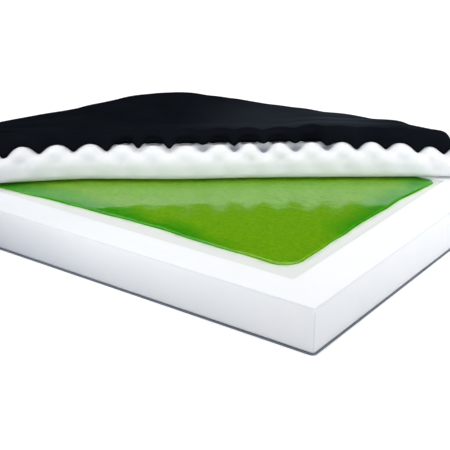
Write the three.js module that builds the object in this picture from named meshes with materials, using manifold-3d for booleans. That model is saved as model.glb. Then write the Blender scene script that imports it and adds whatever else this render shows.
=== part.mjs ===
// A queen-size mattress with its zipped cover peeled back: a foam base with a recess, a gel pad in the
// recess, an egg-crate foam topper whose near corner is folded back along the diagonal, and a stretch
// cover that closes on the base with a zip round all four sides.
// Units are millimetres, +Z is up, and the origin is the middle of the underside. X runs along the
// sleeper's length and Y across it. "Near" is the uncovered corner at +X, -Y.
import * as THREE from 'three';
import { mergeVertices } from 'three/addons/utils/BufferGeometryUtils.js';
import Module from 'manifold-3d';

// Driving dimensions
const LENGTH = 2032;
const WIDTH = 1524;
const GAP = 0.3; // between parts that touch
const PANEL_T = 3; // cover bottom fabric
const FOAM_INSET = 10; // foam faces inside the overall outline
const BASE_TOP = 172;
const FOAM_CORNER_R = 10;

const RIM_ENDS = 180; // base foam left standing at the head and foot of the recess
const RIM_SIDES = 150;
const RECESS_DEPTH = 12;
const RECESS_R = 12;

const GEL_FROM_RIM_ENDS = 68;
const GEL_FROM_RIM_SIDES = 54;
const GEL_SHIFT_Y = 32; // the pad lies nearer the covered side
const GEL_R = 70;
const FILM_T = 0.9;
const FILM_FLANGE = 10;
const GEL_BELOW_TOP = 0.8;

const TOPPER_T = 72; // over the bumps
const TOPPER_INSET = 30;
const TOPPER_CORNER_R = 160;
const FOLD_V = 44; // how far the fold's axis lies beyond the diagonal

const COVER_T = 6;
const COVER_FRONT_V = 82; // where the cover's folded front edge starts
const COVER_FRONT_R = 28;
const SEAM_Z = 196; // side seam between the top panel and the border
const SHOULDER_R = 110;
const SHOULDER_CORNER_R = 200;
const COVER_OVER_ONE = 250; // top of the cover over one foam layer
const COVER_OVER_TWO = 325;
const COVER_DRAPE = 440; // how far the cover takes to sink from two layers to one
const DRAPE_START = 120; // before the flap's edge
const LIP_RISE = 36;
const LIP_FADE = 420;
const CORNER_SAG = 12; // the cover sinks a little towards the far corner
const SAG_X = -700;
const SAG_Y = 700;
const SAG_REACH = 350;
const TUCK_DEPTH = 300; // cover folded under itself, behind its front edge

const BORDER_T = 2.5;
const BORDER_OUT = 3.5; // from the foam face to the border's inner face
const BORDER_Z0 = 20;
const PIPING_T = 3;
const PIPING_H = 6;

const TAPE_T = 1;
const TAPE_OUT = 2.2;
const COIL_T = 2;
const COIL_OUT = 3.5;
const COIL_H = 3.4;
const LOWER_COIL_Z = 9;
const UPPER_COIL_Z = 14;

const SLIDER_X = 940;
const SLIDER_L = 18;
const PULL_X = 3.4; // hinge pin from the slider's middle
const PULL_OUT = 8; // hinge pin from the foam face
const PULL_L = 30;

// Worked out from them
const FOAM_X = LENGTH / 2 - FOAM_INSET;
const FOAM_Y = WIDTH / 2 - FOAM_INSET;
const DIAGONAL = Math.hypot(LENGTH, WIDTH);
const FOLD_ANGLE = Math.atan2(WIDTH, LENGTH);
const COS = LENGTH / DIAGONAL;
const SIN = WIDTH / DIAGONAL;
const TOPPER_Z0 = BASE_TOP + GAP;
const FLAP_Z0 = TOPPER_Z0 + TOPPER_T;
const CREST_Z = FLAP_Z0 + TOPPER_T;
const COVER_X = FOAM_X + BORDER_OUT + BORDER_T;
const COVER_Y = FOAM_Y + BORDER_OUT + BORDER_T;
const FAR = LENGTH * 2;

const wasm = await Module();
wasm.setup();

const fabric = (color) => new THREE.MeshStandardMaterial({ color, roughness: 0.85, metalness: 0 });
const materials = {
  foam: () => new THREE.MeshStandardMaterial({ color: 0xf4f5f7, roughness: 0.95, metalness: 0 }),
  gel: () => new THREE.MeshStandardMaterial({ color: 0x5a9a08, roughness: 0.35, metalness: 0 }),
  film: () => new THREE.MeshStandardMaterial({ color: 0x7db02a, roughness: 0.2, metalness: 0 }),
  cover: () => fabric(0x12161c),
  bottom: () => fabric(0x2c3440),
  zip: () => new THREE.MeshStandardMaterial({ color: 0x1a1d22, roughness: 0.5, metalness: 0 }),
  metal: () => new THREE.MeshStandardMaterial({ color: 0x8c9096, roughness: 0.35, metalness: 1 }),
};

const object = new THREE.Group();

function addPart(name, geometry, material) {
  const mesh = new THREE.Mesh(geometry, material());
  mesh.name = name;
  object.add(mesh);
}

// A closed three.js geometry as a solid, and back
function solid(geometry) {
  const bare = geometry.index ? geometry.toNonIndexed() : geometry.clone();
  bare.deleteAttribute('normal');
  bare.deleteAttribute('uv');
  const merged = mergeVertices(bare, 1e-3);
  return new wasm.Manifold(new wasm.Mesh({
    numProp: 3,
    vertProperties: merged.attributes.position.array,
    triVerts: new Uint32Array(merged.index.array),
  }));
}

function geometryOf(manifold) {
  const mesh = manifold.getMesh();
  const geometry = new THREE.BufferGeometry();
  geometry.setAttribute('position', new THREE.BufferAttribute(new Float32Array(mesh.vertProperties), 3));
  geometry.setIndex(new THREE.BufferAttribute(new Uint32Array(mesh.triVerts), 1));
  geometry.computeVertexNormals();
  return geometry;
}

function box(x0, x1, y0, y1, z0, z1) {
  const geometry = new THREE.BoxGeometry(x1 - x0, y1 - y0, z1 - z0);
  return geometry.translate((x0 + x1) / 2, (y0 + y1) / 2, (z0 + z1) / 2);
}

// A rectangle about the origin with round corners
function roundedRectangle(halfX, halfY, r) {
  const shape = new THREE.Shape();
  shape.moveTo(halfX - r, -halfY);
  shape.absarc(halfX - r, -halfY + r, r, -Math.PI / 2, 0);
  shape.absarc(halfX - r, halfY - r, r, 0, Math.PI / 2);
  shape.absarc(-halfX + r, halfY - r, r, Math.PI / 2, Math.PI);
  shape.absarc(-halfX + r, -halfY + r, r, Math.PI, Math.PI * 1.5);
  shape.closePath();
  return shape;
}

function slab(shape, z0, z1, curveSegments = 6) {
  const geometry = new THREE.ExtrudeGeometry(shape, { depth: z1 - z0, bevelEnabled: false, curveSegments });
  return geometry.translate(0, 0, z0);
}

// A closed band round the foam, from in to out beyond its faces
function band(inner, outer, z0, z1) {
  const shape = roundedRectangle(FOAM_X + outer, FOAM_Y + outer, FOAM_CORNER_R + outer);
  const hole = roundedRectangle(FOAM_X + inner, FOAM_Y + inner, FOAM_CORNER_R + inner);
  return solid(slab(shape, z0, z1)).subtract(solid(slab(hole, z0 - 1, z1 + 1)));
}

// The part of a band on the two covered sides, back (+Y) and left (-X), or on the two near ones
const nearSides = () => solid(box(-FOAM_X, FAR, -FAR, FOAM_Y - FOAM_CORNER_R, -FAR, FAR));
const covered = (ring) => ring.subtract(nearSides());
const uncovered = (ring) => ring.intersect(nearSides());

// The fold's own frame: u along the diagonal from the left corner to the right one, v square to it,
// away from the near corner
const toFold = (x, y) => [COS * x + SIN * y, -SIN * x + COS * y];
const fromFold = (u, v) => [COS * u - SIN * v, SIN * u + COS * v];
const beyond = (v, z0 = -FAR, z1 = FAR) => solid(box(-FAR, FAR, v, FAR, z0, z1).rotateZ(FOLD_ANGLE));

// Distance inside a rounded rectangle's edge, negative outside it
function inside(x, y, halfX, halfY, r) {
  const qx = Math.abs(x) - halfX + r;
  const qy = Math.abs(y) - halfY + r;
  return r - Math.hypot(Math.max(qx, 0), Math.max(qy, 0)) - Math.min(Math.max(qx, qy), 0);
}

// Distance outside the folded flap's left edge, which is the mirrored near side of the mattress
const FLAP_SLOPE = SIN / COS;
const outsideFlap = (u, v) => (v - 2 * FOLD_V - FLAP_SLOPE * (u + DIAGONAL / 2)) * COS;

const clamp = (t) => Math.min(Math.max(t, 0), 1);
const smooth = (t) => clamp(t) * clamp(t) * (3 - 2 * clamp(t));
const quarterRound = (t) => Math.sqrt(1 - (1 - clamp(t)) ** 2);

// Height of the cover's outer face
function coverTop(u, v) {
  const [x, y] = fromFold(u, v);
  const lift = 1 - smooth((outsideFlap(u, v) + DRAPE_START) / COVER_DRAPE);
  const lip = LIP_RISE * Math.exp(-(((v - COVER_FRONT_V - COVER_FRONT_R) / LIP_FADE) ** 2));
  const sag = CORNER_SAG * Math.exp(-((x - SAG_X) ** 2 + (y - SAG_Y) ** 2) / SAG_REACH ** 2);
  const full = COVER_OVER_ONE + (COVER_OVER_TWO - COVER_OVER_ONE + lip) * lift - sag;
  const fromEdge = inside(x, y, COVER_X, COVER_Y, SHOULDER_CORNER_R);
  const shoulder = SEAM_Z + (full - SEAM_Z) * quarterRound(fromEdge / SHOULDER_R);
  const low = CREST_Z + GAP + COVER_T;
  const front = low + (full - low) * quarterRound((v - COVER_FRONT_V) / COVER_FRONT_R);
  return Math.min(shoulder, front);
}

// The largest v on the line of this u that lies inside the cover's outline
function reachAcross(u) {
  let low = 0;
  let high = WIDTH;
  for (let i = 0; i < 40; i += 1) {
    const middle = (low + high) / 2;
    const [x, y] = fromFold(u, middle);
    if (inside(x, y, COVER_X, COVER_Y, FOAM_CORNER_R) > 0) low = middle;
    else high = middle;
  }
  return low;
}

// A closed solid over the covered half of the plan, between two heights given as functions of u and v
function blanket(topOf, bottomOf, columns = 44, rows = 22) {
  const left = -DIAGONAL / 2 + COVER_FRONT_V * FLAP_SLOPE + 24;
  const right = DIAGONAL / 2 - COVER_FRONT_V / FLAP_SLOPE - 24;
  const points = [];
  for (const heightOf of [bottomOf, topOf]) {
    for (let i = 0; i <= columns; i += 1) {
      const u = left + (right - left) * (i / columns);
      const reach = reachAcross(u) - COVER_FRONT_V;
      for (let j = 0; j <= rows; j += 1) {
        const share = j / rows;
        const even = 0.35 * share ** 2 + 0.65 * share; // rows closer together at the front
        const v = COVER_FRONT_V + reach * even;
        const [x, y] = fromFold(u, v);
        points.push(x, y, heightOf(u, v));
      }
    }
  }
  const layer = (columns + 1) * (rows + 1);
  const at = (k, i, j) => k * layer + i * (rows + 1) + j;
  const faces = [];
  const quad = (a, b, c, d) => faces.push(a, b, c, a, c, d);
  for (let i = 0; i < columns; i += 1) {
    for (let j = 0; j < rows; j += 1) {
      quad(at(1, i, j), at(1, i + 1, j), at(1, i + 1, j + 1), at(1, i, j + 1));
      quad(at(0, i, j), at(0, i, j + 1), at(0, i + 1, j + 1), at(0, i + 1, j));
    }
    quad(at(0, i, 0), at(0, i + 1, 0), at(1, i + 1, 0), at(1, i, 0));
    quad(at(0, i + 1, rows), at(0, i, rows), at(1, i, rows), at(1, i + 1, rows));
  }
  for (let j = 0; j < rows; j += 1) {
    quad(at(0, 0, j + 1), at(0, 0, j), at(1, 0, j), at(1, 0, j + 1));
    quad(at(0, columns, j), at(0, columns, j + 1), at(1, columns, j + 1), at(1, columns, j));
  }
  const geometry = new THREE.BufferGeometry();
  geometry.setAttribute('position', new THREE.BufferAttribute(new Float32Array(points), 3));
  geometry.setIndex(faces);
  return solid(geometry);
}

// Base: one foam block with a shallow recess for the gel pad
function baseFoam() {
  const block = solid(slab(roundedRectangle(FOAM_X, FOAM_Y, FOAM_CORNER_R), PANEL_T + GAP, BASE_TOP));
  const recess = roundedRectangle(FOAM_X - RIM_ENDS, FOAM_Y - RIM_SIDES, RECESS_R);
  return geometryOf(block.subtract(solid(slab(recess, BASE_TOP - RECESS_DEPTH, BASE_TOP + 1))));
}

// Gel pad: a gel slab between two films welded to each other in a flange all round
function addGelPad() {
  const halfX = FOAM_X - RIM_ENDS - GEL_FROM_RIM_ENDS;
  const halfY = FOAM_Y - RIM_SIDES - GEL_FROM_RIM_SIDES;
  const plate = (grow, z0, z1) => {
    const outline = roundedRectangle(halfX + grow, halfY + grow, GEL_R + grow);
    return slab(outline, z0, z1).translate(0, GEL_SHIFT_Y, 0);
  };
  const floor = BASE_TOP - RECESS_DEPTH + GAP;
  const weld = floor + FILM_T + GAP;
  const top = BASE_TOP - GEL_BELOW_TOP;
  const skin = FILM_T + GAP;
  addPart('gel_film_bottom', plate(FILM_FLANGE, floor, floor + FILM_T), materials.film);
  addPart('gel_core', plate(-skin, weld, top - skin), materials.gel);
  const tray = solid(plate(0, weld, top)).subtract(solid(plate(-FILM_T, weld - 1, top - FILM_T)));
  const flange = solid(plate(FILM_FLANGE, weld, weld + FILM_T));
  const ring = flange.subtract(solid(plate(-FILM_T, weld - 1, top)));
  addPart('gel_film_top', geometryOf(tray.add(ring)), materials.film);
}

// Topper: one sheet whose near half is folded back over the far half, bumps outwards
function topperFoam() {
  const halfX = FOAM_X - TOPPER_INSET;
  const halfY = FOAM_Y - TOPPER_INSET;
  const outline = roundedRectangle(halfX, halfY, TOPPER_CORNER_R);
  const lower = solid(slab(outline, TOPPER_Z0, FLAP_Z0)).intersect(beyond(FOLD_V));
  const mirroredSide = solid(
    box(-FAR, FAR, -FAR, 0, -FAR, FAR)
      .rotateZ(Math.atan(FLAP_SLOPE))
      .translate(-DIAGONAL / 2, 2 * FOLD_V, 0)
      .rotateZ(FOLD_ANGLE),
  );
  const upper = solid(slab(outline, FLAP_Z0 - 1, CREST_Z)).intersect(beyond(FOLD_V)).intersect(mirroredSide);
  const rod = new THREE.CylinderGeometry(TOPPER_T, TOPPER_T, FAR, 24).rotateZ(Math.PI / 2);
  rod.translate(0, FOLD_V, FLAP_Z0).rotateZ(FOLD_ANGLE);
  const roll = solid(rod).intersect(solid(slab(outline, 0, FAR)));
  const whole = lower.add(upper).add(roll);
  const pressed = blanket(() => FAR, (u, v) => coverTop(u, v) - COVER_T - GAP);
  return geometryOf(whole.subtract(pressed));
}

// Cover top panel: the fabric over the topper, and the part of it folded under behind the front edge
function coverTopPanel() {
  const upper = blanket(coverTop, (u, v) => coverTop(u, v) - COVER_T);
  const z0 = CREST_Z + GAP;
  const reach = DIAGONAL / 2 - COVER_FRONT_V / FLAP_SLOPE - TUCK_DEPTH * 2;
  const tuck = box(-reach, reach, COVER_FRONT_V, COVER_FRONT_V + TUCK_DEPTH, z0, z0 + COVER_T - 1);
  return geometryOf(upper.add(solid(tuck.rotateZ(FOLD_ANGLE))));
}

// The near borders, unzipped, lie doubled inside the cover's fold with their half of the zip on them
function addFoldedBorders() {
  const v0 = COVER_FRONT_V + 48;
  const width = 100;
  const z0 = CREST_Z + COVER_T + GAP;
  const strip = (u0, u1, vFrom, vTo, zFrom, zTo) => box(u0, u1, vFrom, vTo, zFrom, zTo).rotateZ(FOLD_ANGLE);
  const z1 = z0 + 4 * BORDER_T;
  const tapeTop = z1 + GAP + TAPE_T;
  const half = DIAGONAL / 2 - TUCK_DEPTH * 3;
  addPart('cover_border_front', strip(-half, -10, v0, v0 + width, z0, z1), materials.cover);
  addPart('cover_border_right', strip(10, half, v0, v0 + width, z0, z1), materials.cover);
  addPart('zip_tape_upper_open', strip(-half, half, v0 + 60, v0 + 84, z1 + GAP, tapeTop), materials.zip);
  const coilTop = tapeTop + GAP + COIL_T;
  addPart('zip_coil_upper_open', strip(-half, half, v0 + 78, v0 + 84, tapeTop + GAP, coilTop), materials.zip);
}

// The back and left borders stand round the base, below the top panel's side seam
function addStandingBorders() {
  const ring = covered(band(BORDER_OUT, BORDER_OUT + BORDER_T, BORDER_Z0, SEAM_Z - COVER_T - GAP));
  const seamX = -FOAM_X;
  const backOnly = solid(box(seamX, FAR, 0, FAR, -FAR, FAR));
  const leftOnly = solid(box(-FAR, seamX - GAP, -FAR, FAR, -FAR, FAR));
  addPart('cover_border_back', geometryOf(ring.intersect(backOnly)), materials.cover);
  addPart('cover_border_left', geometryOf(ring.intersect(leftOnly)), materials.cover);
  const out = BORDER_OUT + BORDER_T + GAP;
  const z0 = SEAM_Z - COVER_T - PIPING_H;
  const piping = covered(band(out, out + PIPING_T, z0, z0 + PIPING_H));
  addPart('side_piping', geometryOf(piping), materials.cover);
}

// Cover bottom panel, and the zip: lying open on the near sides, closed on the back and left ones
function addBottomAndZip() {
  const panel = roundedRectangle(LENGTH / 2, WIDTH / 2, FOAM_CORNER_R + FOAM_INSET);
  addPart('cover_bottom_panel', slab(panel, 0, PANEL_T), materials.bottom);
  const floor = PANEL_T + GAP;
  const openTape = uncovered(band(GAP, 6.5, floor, floor + TAPE_T));
  addPart('zip_tape_lower_open', geometryOf(openTape), materials.bottom);
  const openCoil = uncovered(band(6.8, 6.8 + COIL_T, floor, floor + COIL_T));
  addPart('zip_coil_lower_open', geometryOf(openCoil), materials.zip);
  const closed = (z0, z1, out, thick) => covered(band(out, out + thick, z0, z1));
  const lowerTape = closed(floor, LOWER_COIL_Z + 2.5, TAPE_OUT, TAPE_T);
  addPart('zip_tape_lower_closed', geometryOf(lowerTape), materials.bottom);
  const lowerCoil = closed(LOWER_COIL_Z, LOWER_COIL_Z + COIL_H, COIL_OUT, COIL_T);
  addPart('zip_coil_lower_closed', geometryOf(lowerCoil), materials.zip);
  const shut = solid(box(-FAR, SLIDER_X - SLIDER_L / 2 - 1, -FAR, FAR, -FAR, FAR));
  const upperTape = closed(UPPER_COIL_Z + 1, BORDER_Z0 + 8, TAPE_OUT, TAPE_T).intersect(shut);
  addPart('zip_tape_upper_closed', geometryOf(upperTape), materials.zip);
  const upperCoil = closed(UPPER_COIL_Z, UPPER_COIL_Z + COIL_H, COIL_OUT, COIL_T).intersect(shut);
  addPart('zip_coil_upper_closed', geometryOf(upperCoil), materials.zip);
  const stopX = -FOAM_X + 60;
  const stopOut = FOAM_Y + COIL_OUT + COIL_T + GAP;
  const stop = box(stopX, stopX + 6, stopOut, stopOut + 1, LOWER_COIL_Z - 1, LOWER_COIL_Z + COIL_H);
  addPart('zip_end_stop', stop, materials.metal);
}

// Zip slider: two plates joined by a thin post between the two rows of coil, with an arch for the pull
function zipSlider() {
  const x0 = SLIDER_X - SLIDER_L / 2;
  const x1 = SLIDER_X + SLIDER_L / 2;
  const z0 = LOWER_COIL_Z - 2;
  const z1 = BORDER_Z0 - 0.6;
  const at = (d) => FOAM_Y + d;
  const archZ = (z0 + z1) / 2;
  const pieces = [
    box(x0, x1, at(5.9), at(7.1), z0, z1),
    box(x0, x1, at(0.6), at(1.8), z0, z1),
    box(SLIDER_X - 1, SLIDER_X + 4, at(1), at(6.5), LOWER_COIL_Z + COIL_H + 0.4, UPPER_COIL_Z - 0.4),
    box(SLIDER_X - 6, SLIDER_X - 4.6, at(7), at(10), archZ - 1.2, archZ + 1.2),
    box(SLIDER_X + 4.6, SLIDER_X + 6, at(7), at(10), archZ - 1.2, archZ + 1.2),
    box(SLIDER_X - 6, SLIDER_X + 6, at(8.9), at(10), archZ - 1.2, archZ + 1.2),
  ];
  return geometryOf(pieces.map(solid).reduce((whole, piece) => whole.add(piece)));
}

// Pull tab: a flat tab on two arms, turning on a pin that passes under the slider's arch
function zipPull() {
  const x = SLIDER_X + PULL_X;
  const y = FOAM_Y + PULL_OUT;
  const archZ = (LOWER_COIL_Z - 2 + BORDER_Z0 - 0.6) / 2;
  const pin = new THREE.CylinderGeometry(0.6, 0.6, 5.6, 12).rotateX(Math.PI / 2).translate(x, y, archZ);
  const pieces = [
    pin,
    box(x - 0.5, x + 12, y - 0.6, y + 0.6, archZ - 2.8, archZ - 1.6),
    box(x - 0.5, x + 12, y - 0.6, y + 0.6, archZ + 1.6, archZ + 2.8),
    box(x + 11, x + 11 + PULL_L, y - 0.6, y + 0.6, archZ - 5, archZ + 5),
  ];
  return geometryOf(pieces.map(solid).reduce((whole, piece) => whole.add(piece)));
}

addPart('base_foam', baseFoam(), materials.foam);
addGelPad();
addPart('topper_foam', topperFoam(), materials.foam);
addPart('cover_top_panel', coverTopPanel(), materials.cover);
addFoldedBorders();
addStandingBorders();
addBottomAndZip();
addPart('zip_slider', zipSlider(), materials.metal);
addPart('zip_pull', zipPull(), materials.metal);

export default object;
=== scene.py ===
import math

import bmesh
import bpy
import numpy as np
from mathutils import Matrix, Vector


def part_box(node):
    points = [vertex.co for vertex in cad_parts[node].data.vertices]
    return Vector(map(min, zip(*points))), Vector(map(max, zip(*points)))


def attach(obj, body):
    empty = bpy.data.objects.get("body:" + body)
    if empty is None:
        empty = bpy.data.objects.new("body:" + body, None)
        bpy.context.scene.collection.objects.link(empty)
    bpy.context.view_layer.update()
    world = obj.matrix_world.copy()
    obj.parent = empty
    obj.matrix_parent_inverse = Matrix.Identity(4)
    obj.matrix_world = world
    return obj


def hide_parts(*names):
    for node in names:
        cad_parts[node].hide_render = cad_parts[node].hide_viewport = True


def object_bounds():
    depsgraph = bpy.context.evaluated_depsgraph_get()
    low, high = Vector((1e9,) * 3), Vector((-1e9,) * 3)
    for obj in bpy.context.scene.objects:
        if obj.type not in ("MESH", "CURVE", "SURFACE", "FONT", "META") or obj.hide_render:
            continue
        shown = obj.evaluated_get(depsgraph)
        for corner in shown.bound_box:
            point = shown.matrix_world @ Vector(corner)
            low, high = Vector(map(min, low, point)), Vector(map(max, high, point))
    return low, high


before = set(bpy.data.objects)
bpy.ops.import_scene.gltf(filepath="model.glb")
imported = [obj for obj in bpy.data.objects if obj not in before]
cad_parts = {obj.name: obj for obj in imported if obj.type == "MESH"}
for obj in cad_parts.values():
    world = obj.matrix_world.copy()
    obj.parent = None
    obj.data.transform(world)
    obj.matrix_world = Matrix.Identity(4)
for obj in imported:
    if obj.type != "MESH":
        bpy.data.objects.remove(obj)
CAD_LO, CAD_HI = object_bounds()

# ---- sizes, in metres
# The boxes come from the CAD. In the fold's frame, u runs along the fold, up and to the right in plan,
# and v square to it, away from the near corner.
FOAM_LO, FOAM_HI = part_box("base_foam")
TOPPER_LO, TOPPER_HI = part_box("topper_foam")
GEL_LO, GEL_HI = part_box("gel_film_top")
COVER_LO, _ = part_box("cover_top_panel")
BACK_LO, BACK_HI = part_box("cover_border_back")
PIPING_LO, PIPING_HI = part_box("side_piping")
PANEL_LO, PANEL_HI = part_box("cover_bottom_panel")

FOAM_X, FOAM_Y, BASE_TOP = FOAM_HI
FOAM_CORNER_R = 0.010
RIM_ENDS, RIM_SIDES = 0.180, 0.150  # the rim's width at the short ends and along the long sides
RECESS_DEPTH, RECESS_R = 0.012, 0.012
GEL_R = 0.070
FILM_FLANGE = 0.010

LENGTH = CAD_HI.x - CAD_LO.x
WIDTH = CAD_HI.y - CAD_LO.y
DIAGONAL = math.hypot(LENGTH, WIDTH)
COS, SIN = LENGTH / DIAGONAL, WIDTH / DIAGONAL
SLOPE = SIN / COS

FOLD_V = 0.044  # where the CAD's fold line lies
TOPPER_T = (TOPPER_HI.z - TOPPER_LO.z) / 2
CREST_Z = TOPPER_HI.z
TOPPER_INSET = 0.030
TOPPER_R = 0.160

BORDER_T = 0.0025
BORDER_OUT = 0.0035
COVER_X, COVER_Y = FOAM_X + BORDER_OUT + BORDER_T, FOAM_Y + BORDER_OUT + BORDER_T
COVER_T = 0.005
COVER_CAD_T = 0.006
COVER_FRONT_V, COVER_FRONT_R = 0.082, 0.028
SEAM_Z = 0.196
SHOULDER_R, SHOULDER_CORNER_R = 0.110, 0.200
COVER_OVER_ONE, COVER_OVER_TWO = 0.250, 0.325  # the cover's height over one layer of topper and over two
DRAPE_START, COVER_DRAPE = 0.120, 0.440  # its fall past the flap's edge: how far before, and how long
LIP_RISE, LIP_FADE = 0.036, 0.420
CORNER_SAG, SAG_X, SAG_Y, SAG_REACH = 0.012, -0.700, 0.700, 0.350
EDGE_ROUND_LESS = 0.3  # how much smaller the shoulder's radius is at the right end
TUCK_DEPTH = 0.300

# Egg-crate bumps: which bump is at u (a slow stretch along the fold), the distance between rows,
# and the height from valley to peak
BUMP_AT_0, BUMPS_PER_M, BUMP_STRETCH = 5.530, 7.388, 0.36
BUMP_ROW, BUMP_DEPTH = 0.067, 0.040
AXIS_V = FOLD_V + 0.021  # the roll's axis, with the crest row of bumps above it
ROLL_REACH = TOPPER_T + 0.002
ROLL_NEUTRAL_R = 0.037  # the radius at which the bent sheet keeps its flat length
LOWER_ROLL_SQUARE = 0.52  # 1 is round, less is squarer


# ---- plan geometry
def to_fold(x, y):
    return COS * x + SIN * y, -SIN * x + COS * y


def from_fold(u, v):
    return COS * u - SIN * v, SIN * u + COS * v


def inside(x, y, half_x, half_y, r):
    """Distance inside a rounded rectangle's edge, negative outside it."""
    qx, qy = np.abs(x) - half_x + r, np.abs(y) - half_y + r
    corner = np.hypot(np.maximum(qx, 0), np.maximum(qy, 0))
    return r - corner - np.minimum(np.maximum(qx, qy), 0)


def reach(u, half_x, half_y, r):
    """The largest v of each u that lies inside a rounded rectangle."""
    low, high = np.zeros_like(u), np.full_like(u, WIDTH)
    for _ in range(40):
        middle = (low + high) / 2
        x, y = from_fold(u, middle)
        within = inside(x, y, half_x, half_y, r) > 0
        low, high = np.where(within, middle, low), np.where(within, high, middle)
    return low


def smooth(t):
    """Goes gently from 0 at t = 0 to 1 at t = 1."""
    t = np.clip(t, 0, 1)
    return t * t * (3 - 2 * t)


def hump(t, middle, width):
    """1 in the middle, fading out to both sides."""
    return np.exp(-(((t - middle) / width) ** 2))


def quarter_round(t):
    return np.sqrt(np.maximum(0, 1 - (1 - np.clip(t, 0, 1)) ** 2))


def flap_edge(u):
    """v of the folded flap's left edge, the mirrored near side."""
    return 2 * FOLD_V + SLOPE * (u + DIAGONAL / 2)


def cover_top(u, v):
    """Height of the cover's outer face behind its front edge."""
    x, y = from_fold(u, v)
    lift = 1 - smooth(((v - flap_edge(u)) * COS + DRAPE_START) / COVER_DRAPE)
    lip = LIP_RISE * hump(v, COVER_FRONT_V + COVER_FRONT_R, LIP_FADE)
    sag = CORNER_SAG * np.exp(-((x - SAG_X) ** 2 + (y - SAG_Y) ** 2) / SAG_REACH**2)
    full = COVER_OVER_ONE + (COVER_OVER_TWO - COVER_OVER_ONE + lip) * lift - sag
    swell_right, sink_at_end = 0.012 * hump(u, 0.49, 0.13), 0.010 * hump(u, 0.93, 0.06)
    full = full + swell_right - sink_at_end
    edge = inside(x, y, COVER_X, COVER_Y, SHOULDER_CORNER_R)
    shoulder = SHOULDER_R * (1 - EDGE_ROUND_LESS * smooth((u - 0.75) / 0.2))
    return SEAM_Z + (full - SEAM_Z) * quarter_round(edge / shoulder)


def ripple(points, size, seed):
    """A smooth unevenness, mostly from -1 to 1, made of sine waves of about that size, the same each run."""
    waves = 9
    rng = np.random.default_rng(seed)
    total = np.zeros(len(points))
    for _ in range(waves):
        direction = rng.normal(size=3)
        direction /= np.linalg.norm(direction)
        length = size * rng.uniform(0.6, 1.7)
        total += np.sin(points @ direction * (2 * math.pi / length) + rng.uniform(0, 2 * math.pi))
    return total / math.sqrt(waves)


# ---- meshes
def make_piece(name, points, faces, material, smooth_faces=True):
    mesh = bpy.data.meshes.new(name)
    mesh.from_pydata([tuple(p) for p in points], [], faces)
    mesh.validate()
    if smooth_faces:
        mesh.polygons.foreach_set("use_smooth", [True] * len(mesh.polygons))
    mesh.materials.append(material)
    piece = bpy.data.objects.new(name, mesh)
    bpy.context.scene.collection.objects.link(piece)
    return piece


def paint(piece, name, values):
    """Gives each point of a mesh a number that its material reads by name."""
    attribute = piece.data.attributes.new(name, "FLOAT", "POINT")
    attribute.data.foreach_set("value", np.asarray(values, dtype=np.float32))


def recalculate(piece):
    """Faces point outwards."""
    bm = bmesh.new()
    bm.from_mesh(piece.data)
    bmesh.ops.recalc_face_normals(bm, faces=bm.faces)
    bm.to_mesh(piece.data)
    bm.free()
    return piece


def solid(name, points, faces, material):
    """A smooth closed piece whose faces point outwards."""
    return recalculate(make_piece(name, points, faces, material))


def skin(rows, count, cap_ends=True, first=0):
    """Quads between consecutive rows of count points, each row closed on itself."""
    faces = []
    for i in range(rows - 1):
        a, b = first + i * count, first + (i + 1) * count
        for j in range(count):
            k = (j + 1) % count
            faces.append((a + j, a + k, b + k, b + j))
    if cap_ends:
        faces.append(tuple(first + j for j in range(count))[::-1])
        faces.append(tuple(first + (rows - 1) * count + j for j in range(count)))
    return faces


def loop_points(half_x, half_y, r, straight, corner, shares):
    """A rounded rectangle's points, anticlockwise from the lower right, with as many on each side. Each
    corner's radius is its share of r."""
    out = []
    centres = ((1, -1), (1, 1), (-1, 1), (-1, -1))
    radii = [max(r * share, 0.001) for share in shares]
    for k, (sx, sy) in enumerate(centres):
        ra, rb = radii[k], radii[(k + 1) % 4]
        cx, cy = sx * (half_x - ra), sy * (half_y - ra)
        start = -math.pi / 2 + k * math.pi / 2
        for i in range(corner):
            a = start + (math.pi / 2) * i / (corner - 1)
            out.append((cx + ra * math.cos(a), cy + ra * math.sin(a)))
        nx, ny = centres[(k + 1) % 4]
        a = start + math.pi / 2
        x0, y0 = cx + ra * math.cos(a), cy + ra * math.sin(a)
        x1, y1 = nx * (half_x - rb) + rb * math.cos(a), ny * (half_y - rb) + rb * math.sin(a)
        for i in range(1, straight):
            t = i / straight
            out.append((x0 + (x1 - x0) * t, y0 + (y1 - y0) * t))
    return np.array(out)


def ringed(rings, straight, corner, shares=(1, 1, 1, 1)):
    """Points of stacked rounded rectangles, each (half_x, half_y, r, z), and their closed skin."""
    loops = []
    for half_x, half_y, r, z in rings:
        xy = loop_points(half_x, half_y, r, straight, corner, shares)
        loops.append(np.column_stack([xy, np.full(len(xy), z)]))
    return np.concatenate(loops), skin(len(rings), len(loops[0]))


def arc_rings(half_x, half_y, r, z, radius, out_from, out_to, steps=5):
    """Rings round an arc. Angles in degrees from outwards; (half_x, half_y, z) is the arc's centre."""
    made = []
    for i in range(steps + 1):
        a = math.radians(out_from + (out_to - out_from) * i / steps)
        grow = radius * math.cos(a)
        made.append((half_x + grow, half_y + grow, max(r + grow, 0.001), z + radius * math.sin(a)))
    return made


def inward(half_x, half_y, r, z):
    """Rings that shrink towards the middle of a flat face."""
    steps, least = 6, 0.10
    made = []
    for i in range(1, steps + 1):
        t = i / steps
        cut = (min(half_x, half_y) - least) * t
        made.append((half_x - cut, half_y - cut, max(r * (1 - t), 0.02), z))
    return made


CORNER_STEPS = 8


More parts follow.
